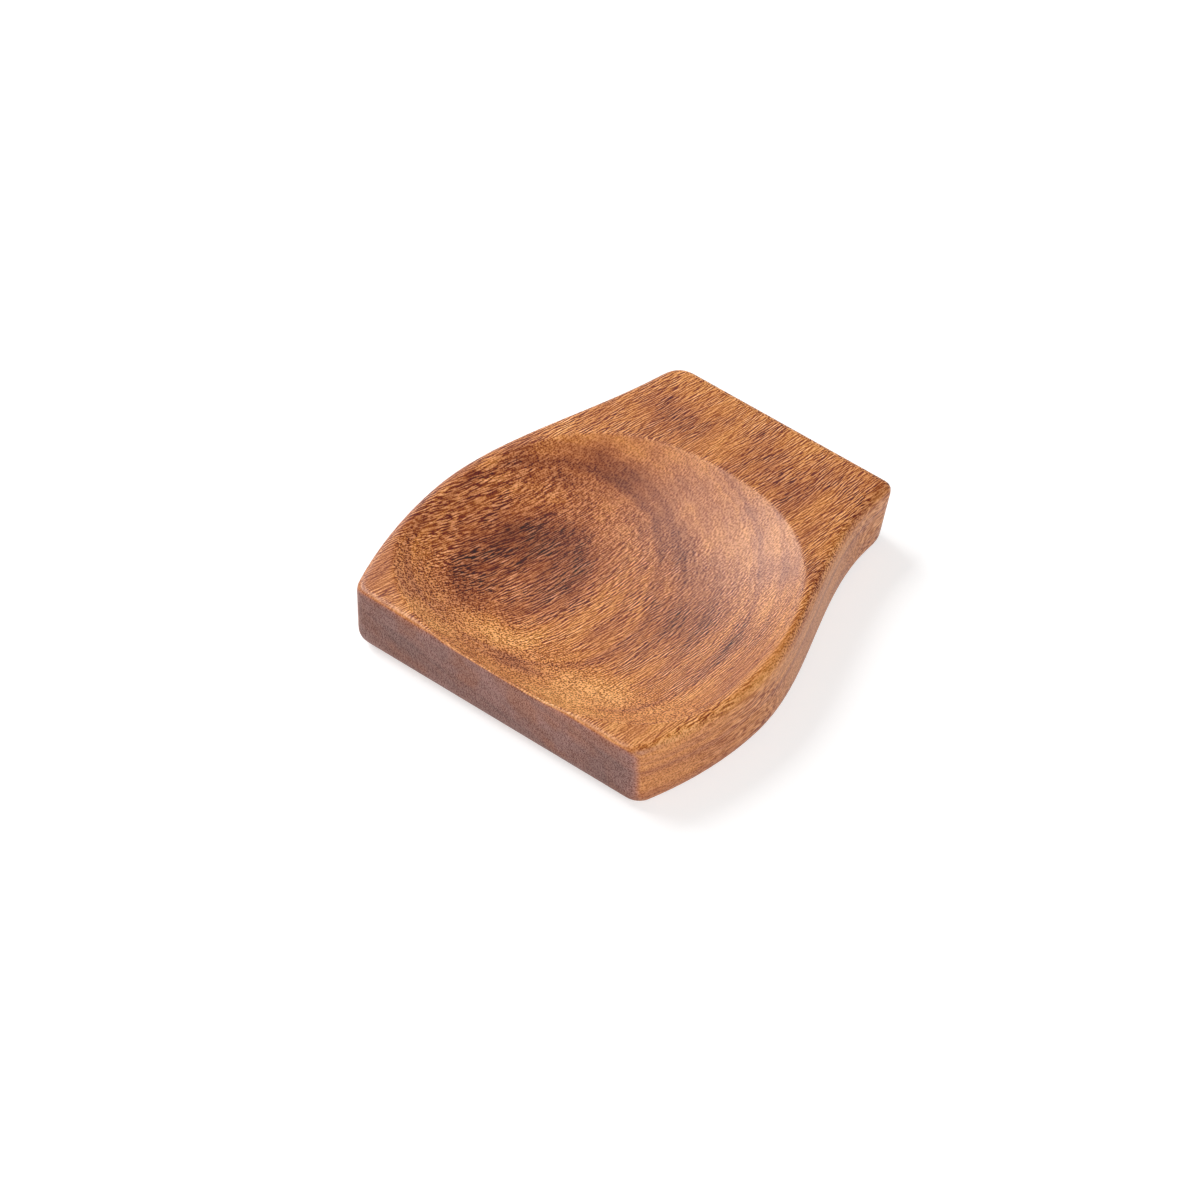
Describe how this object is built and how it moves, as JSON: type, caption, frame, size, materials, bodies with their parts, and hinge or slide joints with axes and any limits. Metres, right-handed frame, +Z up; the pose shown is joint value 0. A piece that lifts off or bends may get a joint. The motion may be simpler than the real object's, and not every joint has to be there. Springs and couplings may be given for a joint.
{
  "type": "spoon rest",
  "caption": "Free-standing wooden spoon rest: a bell-shaped hardwood block with a wide, shallow carved dish that runs out over its front edge, and a flat land at its narrow end.",
  "frame": {"origin": "middle of the flat underside, under the middle of the overall length and width", "axes": "+Z up out of the dish, +Y along the grain from the wide front edge to the narrow end, +X to the right as seen from the front"},
  "size_m": [0.111, 0.12, 0.021],
  "materials": {
    "oiled_acacia": "satin oil, open-pored"
  },
  "bodies": {
    "root": {"carved_body": "oiled_acacia"}
  },
  "joints": []
}
